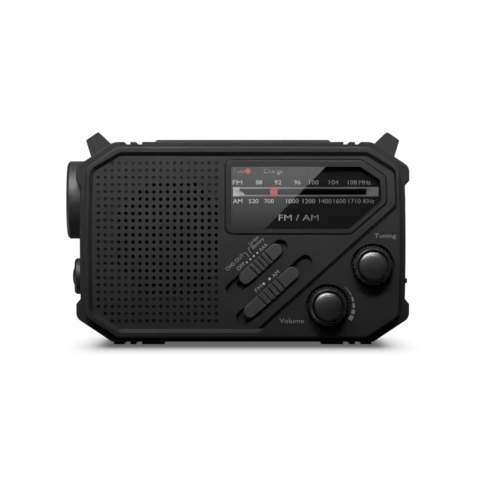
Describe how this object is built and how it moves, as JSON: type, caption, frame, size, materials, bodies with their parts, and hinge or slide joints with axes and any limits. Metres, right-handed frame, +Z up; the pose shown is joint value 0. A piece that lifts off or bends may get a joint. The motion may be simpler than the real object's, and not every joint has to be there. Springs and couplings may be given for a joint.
{
  "type": "emergency radio",
  "caption": "Wind-up emergency radio with dial display, speaker grille, slide switches, torch, solar strip, fold-out crank, telescopic aerial and strap lugs.",
  "frame": {"origin": "on the surface the feet stand on, under the middle of the bounding box", "axes": "+X to the radio's right as its front is looked at, +Y to the back, +Z up"},
  "size_m": [0.1792, 0.0658, 0.1109],
  "materials": {
    "case_plastic": "fine moulded texture",
    "panel_plastic": "fine moulded texture",
    "band_rubber": "matt",
    "bezel_plastic": "satin",
    "lens_plastic": "polished dark window",
    "dial_print": "printed scale",
    "pointer_red": "translucent red",
    "led_red": "lit red",
    "knob_plastic": "satin",
    "knob_gloss": "polished",
    "torch_gloss": "polished",
    "torch_clear": "clear",
    "reflector_chrome": "mirror",
    "solar_cell": "dark blue cells under a clear face",
    "steel": "bright",
    "aerial_chrome": "polished",
    "brass": "plain",
    "board_green": "solder mask",
    "speaker_paper": "pressed paper",
    "nylon_white": "plain nylon",
    "cell_wrap": "shrink sleeve",
    "ferrite": "sintered",
    "cord_string": "braided"
  },
  "bodies": {
    "case": {"front_housing": "case_plastic", "rear_housing": "case_plastic", "front_panel": "panel_plastic", "front_bumper": "band_rubber", "rear_bumper": "band_rubber", "strap_lug_left": "band_rubber", "strap_lug_right": "band_rubber", "rubber_feet": "band_rubber", "housing_screws": "steel", "display_bezel": "bezel_plastic", "display_lens": "lens_plastic", "dial_plate": "dial_print", "tune_led": "led_red", "solar_frame": "bezel_plastic", "solar_panel": "solar_cell", "tuning_capacitor": "nylon_white", "volume_pot": "steel", "dial_cord": "cord_string", "dial_bracket": "bezel_plastic", "power_switch_body": "bezel_plastic", "band_switch_body": "bezel_plastic", "speaker_basket": "steel", "speaker_cone": "speaker_paper", "main_board": "board_green", "lithium_cell": "cell_wrap", "aaa_cells": "steel", "battery_contacts": "steel", "ferrite_rod": "ferrite", "torch_bezel": "torch_gloss", "torch_lens": "torch_clear", "torch_reflector": "reflector_chrome", "torch_led_board": "board_green", "button_collar": "torch_gloss", "usb_sockets": "steel", "headphone_jack": "bezel_plastic", "generator_frame": "steel"},
    "tuning_control": {"tuning_knob": "knob_plastic", "tuning_knob_cap": "knob_gloss", "tuning_spindle": "brass"},
    "volume_control": {"volume_knob": "knob_plastic", "volume_knob_cap": "knob_gloss", "volume_shaft": "steel"},
    "pointer": {"dial_pointer": "pointer_red"},
    "left_pulley": {"cord_pulley_left": "nylon_white"},
    "right_pulley": {"cord_pulley_right": "nylon_white"},
    "power_switch": {"power_slider": "knob_plastic"},
    "band_switch": {"band_slider": "knob_plastic"},
    "torch_push": {"torch_button": "torch_gloss"},
    "ports_flap": {"port_cover": "band_rubber"},
    "crank": {"crank_arm": "case_plastic", "crank_gear": "nylon_white"},
    "idler": {"idler_gear": "nylon_white"},
    "generator": {"generator_rotor": "steel"},
    "grip_hinge": {"grip_pin": "steel"},
    "grip": {"crank_grip": "knob_plastic"},
    "battery_hatch": {"battery_door": "case_plastic"},
    "aerial_base": {"antenna_knuckle": "aerial_chrome"},
    "aerial_outer": {"antenna_tube_outer": "aerial_chrome"},
    "aerial_middle": {"antenna_tube_middle": "aerial_chrome"},
    "aerial_tip": {"antenna_tip_rod": "aerial_chrome"}
  },
  "joints": [
    {"name": "tuning_turn", "type": "hinge", "parent": "case", "child": "tuning_control", "pos_m": [0.07035, -0.02795, 0.041], "axis": [0, 1, 0], "range_deg": [-192, 562]},
    {"name": "pointer_slide", "type": "slide", "parent": "case", "child": "pointer", "axis": [1, 0, 0], "range_m": [-0.0158, 0.0462]},
    {"name": "left_pulley_turn", "type": "hinge", "parent": "case", "child": "left_pulley", "pos_m": [0.00015, -0.01795, 0.0764], "axis": [0, 1, 0], "range_deg": [-240, 698]},
    {"name": "right_pulley_turn", "type": "hinge", "parent": "case", "child": "right_pulley", "pos_m": [0.07375, -0.01795, 0.0764], "axis": [0, 1, 0], "range_deg": [-240, 698]},
    {"name": "volume_turn", "type": "hinge", "parent": "case", "child": "volume_control", "pos_m": [0.047, -0.02795, 0.0199], "axis": [0, 1, 0], "range_deg": [-150, 150]},
    {"name": "power_slide", "type": "slide", "parent": "case", "child": "power_switch", "axis": [0.7431, 0, 0.6691], "range_m": [-0.00735, 0]},
    {"name": "band_slide", "type": "slide", "parent": "case", "child": "band_switch", "axis": [0.7431, 0, 0.6691], "range_m": [0, 0.004]},
    {"name": "torch_press", "type": "slide", "parent": "case", "child": "torch_push", "axis": [1, 0, 0], "range_m": [0, 0.0012], "stiffness_N_per_m": 400, "springref_m": -0.002},
    {"name": "port_cover_hinge", "type": "hinge", "parent": "case", "child": "ports_flap", "pos_m": [0.08705, 0.00305, 0.0767], "axis": [0, -1, 0], "range_deg": [0, 100]},
    {"name": "crank_turn", "type": "hinge", "parent": "case", "child": "crank", "pos_m": [0.03075, 0.02405, 0.052], "axis": [0, 1, 0], "continuous": true},
    {"name": "idler_turn", "type": "hinge", "parent": "case", "child": "idler", "pos_m": [0.05165, 0.01605, 0.03441], "axis": [0, 1, 0], "continuous": true},
    {"name": "generator_turn", "type": "hinge", "parent": "case", "child": "generator", "pos_m": [0.03, 0.01005, 0.02635], "axis": [0, 1, 0], "continuous": true},
    {"name": "grip_fold", "type": "hinge", "parent": "crank", "child": "grip_hinge", "pos_m": [0.03075, 0.02705, 0.0215], "axis": [-1, 0, 0], "range_deg": [0, 90]},
    {"name": "grip_spin", "type": "hinge", "parent": "grip_hinge", "child": "grip", "pos_m": [0.03075, 0.02705, 0.033], "axis": [0, 0, 1], "continuous": true},
    {"name": "battery_door_hinge", "type": "hinge", "parent": "case", "child": "battery_hatch", "pos_m": [-0.041, 0.0312, 0.06365], "axis": [1, 0, 0], "range_deg": [0, 80]},
    {"name": "aerial_swing", "type": "hinge", "parent": "case", "child": "aerial_base", "pos_m": [0.07275, 0.02605, 0.094], "axis": [0, 1, 0], "range_deg": [0, 120]},
    {"name": "aerial_tilt", "type": "hinge", "parent": "aerial_base", "child": "aerial_outer", "pos_m": [0.07275, 0.02805, 0.094], "axis": [0, 0, 1], "range_deg": [-90, 0]},
    {"name": "aerial_middle_slide", "type": "slide", "parent": "aerial_outer", "child": "aerial_middle", "axis": [-1, 0, 0], "range_m": [0, 0.088]},
    {"name": "aerial_tip_slide", "type": "slide", "parent": "aerial_middle", "child": "aerial_tip", "axis": [-1, 0, 0], "range_m": [0, 0.084]}
  ],
  "couplings": [
    {"joint": "pointer_slide", "follows": "tuning_turn", "m_per_rad": 0.0047},
    {"joint": "left_pulley_turn", "follows": "tuning_turn", "ratio": 1.2368},
    {"joint": "right_pulley_turn", "follows": "tuning_turn", "ratio": 1.2368},
    {"joint": "idler_turn", "follows": "crank_turn", "ratio": -3.3333},
    {"joint": "generator_turn", "follows": "crank_turn", "ratio": 8.8889}
  ]
}
